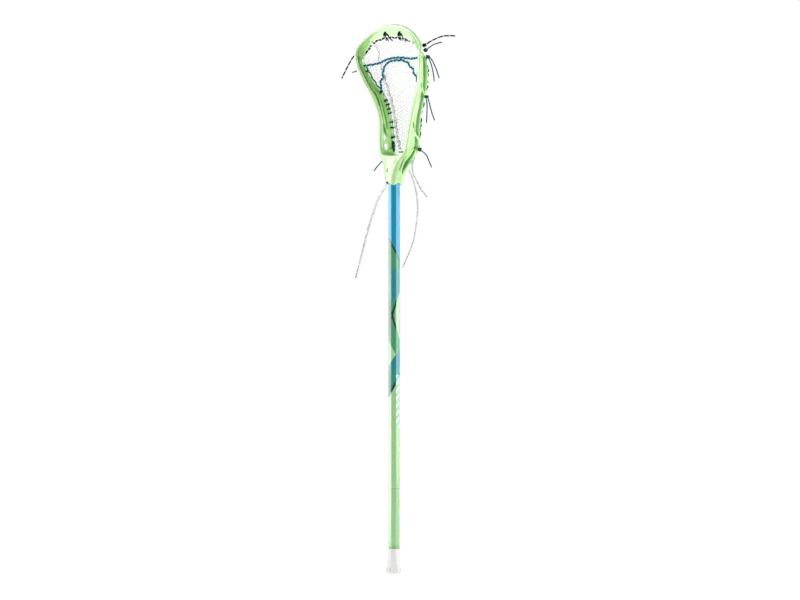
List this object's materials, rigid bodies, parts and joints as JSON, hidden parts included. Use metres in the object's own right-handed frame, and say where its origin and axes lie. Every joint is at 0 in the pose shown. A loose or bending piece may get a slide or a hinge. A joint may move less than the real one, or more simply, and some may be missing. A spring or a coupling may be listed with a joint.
{
  "type": "lacrosse stick",
  "caption": "Strung lacrosse stick for the field game: moulded open head with sagging mesh pocket, octagonal shaft and rubber butt cap.",
  "frame": {"origin": "centre of the end cap's flat bottom, on the shaft's axis", "axes": "+Z along the shaft from the butt to the head's tip, -Y out of the head's open face, +X across the head"},
  "size_m": [0.2643, 0.0901, 1.0724],
  "materials": {
    "head_plastic": "glossy moulded nylon, pale lime",
    "shaft_paint": "painted aluminium alloy, metallic blue, teal and lime fades",
    "cap_rubber": "white rubber",
    "screw_steel": "plated steel",
    "pocket_mesh": "soft white woven mesh",
    "leather": "white tanned leather",
    "top_string": "black braid with white tracer",
    "teal_string": "teal braid"
  },
  "bodies": {
    "stick": {"shaft": "shaft_paint", "head": "head_plastic", "pocket_mesh": "pocket_mesh", "leather_left": "leather", "leather_right": "leather", "top_string": "top_string", "sidewall_string_left": "teal_string", "sidewall_string_right": "teal_string", "shooting_string_upper": "teal_string", "shooting_string_lower": "teal_string", "top_knot_right": "top_string", "scoop_knot_right": "teal_string", "shooting_knot_right": "teal_string", "sidewall_knot_right": "teal_string", "throat_knot_right": "teal_string", "top_knot_left": "top_string", "shooting_knot_left": "teal_string", "throat_knot_left": "teal_string", "top_tail_right": "top_string", "top_tail_left": "top_string", "scoop_tail_right": "teal_string", "shooting_tail_right_1": "teal_string", "shooting_tail_right_2": "teal_string", "sidewall_tail_right_1": "teal_string", "sidewall_tail_right_2": "teal_string", "throat_tail_right": "teal_string", "shooting_tail_left": "teal_string", "throat_tail_left": "teal_string", "leather_tail_left": "leather", "leather_tail_right": "leather", "leather_end_right": "leather"},
    "end_cap": {"end_cap": "cap_rubber"},
    "head_screw": {"head_screw": "screw_steel"}
  },
  "joints": [
    {"name": "end_cap_pull", "type": "slide", "parent": "stick", "child": "end_cap", "axis": [0, 0, -1], "range_m": [0, 0.042]},
    {"name": "head_screw_out", "type": "slide", "parent": "stick", "child": "head_screw", "axis": [0, 1, 0], "range_m": [0, 0.012]}
  ]
}
